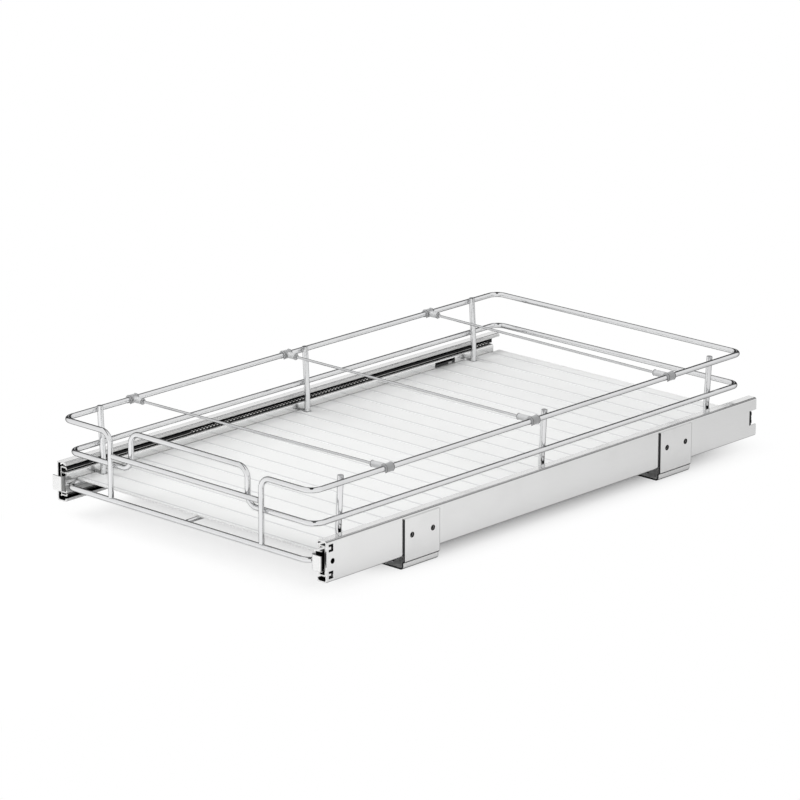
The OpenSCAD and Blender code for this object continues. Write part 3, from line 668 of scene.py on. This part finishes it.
def floor_shade(t, x, y, glossy):
    """Where the floor shows its shaded surface instead of plain white."""
    aside = t.math("ABSOLUTE", x)
    narrow = t.ramp(aside, *NARROW_X, 1.0, 0.0, smooth=False)
    narrow = t.all_of(t.math("POWER", narrow, NARROW_FALL), NARROW_DEPTH, t.outside(glossy))
    wide = t.any_of(*[t.ramp(aside, *span, depth, 0.0) for span, depth in WIDE_X])
    band = t.math("ADD", narrow, t.all_of(wide, glossy))
    front = t.math("MAXIMUM", t.ramp(y, *BAND_FRONT_Y), t.math("ADD", BAND_IN_FRONT, glossy),
                   clamp=True)
    return t.all_of(band, front, t.ramp(y, *BAND_REAR_Y, 1.0, 0.0))


def add_floor():
    r = FLOOR_REACH
    mesh = bpy.data.meshes.new("floor")
    mesh.from_pydata([(-r, -r, 0), (r, -r, 0), (r, r, 0), (-r, r, 0)], [], [(0, 1, 2, 3)])
    floor = bpy.data.objects.new("floor", mesh)
    bpy.context.scene.collection.objects.link(floor)
    mat, t = new_material("pale_floor")
    x, y, _ = t.split()
    path = t.node("ShaderNodeLightPath")
    glossy = path.outputs["Is Glossy Ray"]
    dusk = t.all_of(t.within(x, *DUSK_X, soft=0.03), t.within(y, *DUSK_Y, soft=0.02))
    tone = t.all_of(t.ramp(y, *DULL_Y, 1.0, DULL_TONE, smooth=False),
                    t.raised(1.0, dusk, -DUSK_DEPTH))
    white = t.node("ShaderNodeEmission", {"Color": t.mix(glossy, rgba(1.0), tone)})
    seen = t.math("ADD", path.outputs["Is Camera Ray"], glossy, clamp=True)
    seen = t.math("ADD", seen, path.outputs["Is Transmission Ray"], clamp=True)
    plain = t.all_of(seen, t.outside(floor_shade(t, x, y, glossy)))
    surface = t.node("ShaderNodeBsdfDiffuse", {"Color": FLOOR_WHITE})
    t.node("ShaderNodeOutputMaterial", {"Surface": t.blend(plain, surface, white)})
    mesh.materials.append(mat)


def add_world():
    """Even white studio. Metal sees a dark panel behind the object and a dark slit overhead."""
    world = bpy.data.worlds.new("studio")
    bpy.context.scene.world = world
    world.use_nodes = True
    t = Tree(world.node_tree)
    x, y, z = t.split("Generated")

    def along(vx, vy, vz=0.0):
        flat = t.math("ADD", t.math("MULTIPLY", x, vx), t.math("MULTIPLY", y, vy))
        return t.raised(flat, z, vz)

    level = t.math("SQRT", t.math("SUBTRACT", 1.0, t.math("MULTIPLY", z, z), clamp=True))
    behind = t.math("DIVIDE", along(*BEHIND), level)
    around_window = t.ramp(along(*WINDOW_WAY), *WINDOW_EDGE, 1.0, 0.0)
    panel = t.all_of(t.within(z, *PANEL_HEIGHT, soft=0.05), t.ramp(behind, *PANEL_EDGE),
                     around_window)
    slit = t.all_of(t.within(along(*RIGHTWARD), *SLIT_WIDTH, soft=0.03), t.ramp(z, *SLIT_FOOT),
                    t.ramp(along(*BEHIND), *SLIT_END))
    walls = t.mix(t.any_of(panel, slit), rgba(WALL), rgba(PANEL))
    even = t.node("ShaderNodeBackground", {"Color": rgba(1.0), "Strength": WORLD_LEVEL})
    studio = t.node("ShaderNodeBackground", {"Color": walls, "Strength": 1.0})
    white = t.node("ShaderNodeBackground", {"Color": rgba(1.0), "Strength": 1.0})
    path = t.node("ShaderNodeLightPath")
    lighting = t.blend(path.outputs["Is Glossy Ray"], even, studio)
    sky = t.blend(path.outputs["Is Camera Ray"], lighting, white)
    t.node("ShaderNodeOutputWorld", {"Surface": sky})


def add_area(name, place, size, watts):
    """A lamp that aims at the object and leaves no spot in the metal."""
    data = bpy.data.lights.new(name, "AREA")
    data.shape = "RECTANGLE"
    data.size, data.size_y = size
    data.energy = watts
    lamp = bpy.data.objects.new(name, data)
    lamp.location = place
    lamp.visible_glossy = False
    lamp.rotation_euler = (-Vector(place)).to_track_quat("-Z", "Y").to_euler()
    bpy.context.scene.collection.objects.link(lamp)


add_camera()
add_floor()
add_world()
add_area("top_softbox", (0.2, -0.5, 2.2), (2.4, 2.4), 20.0)
add_area("key_softbox", (-1.7, -0.9, 1.6), (1.8, 1.4), 42.0)
bpy.context.scene.view_settings.view_transform = "Standard"
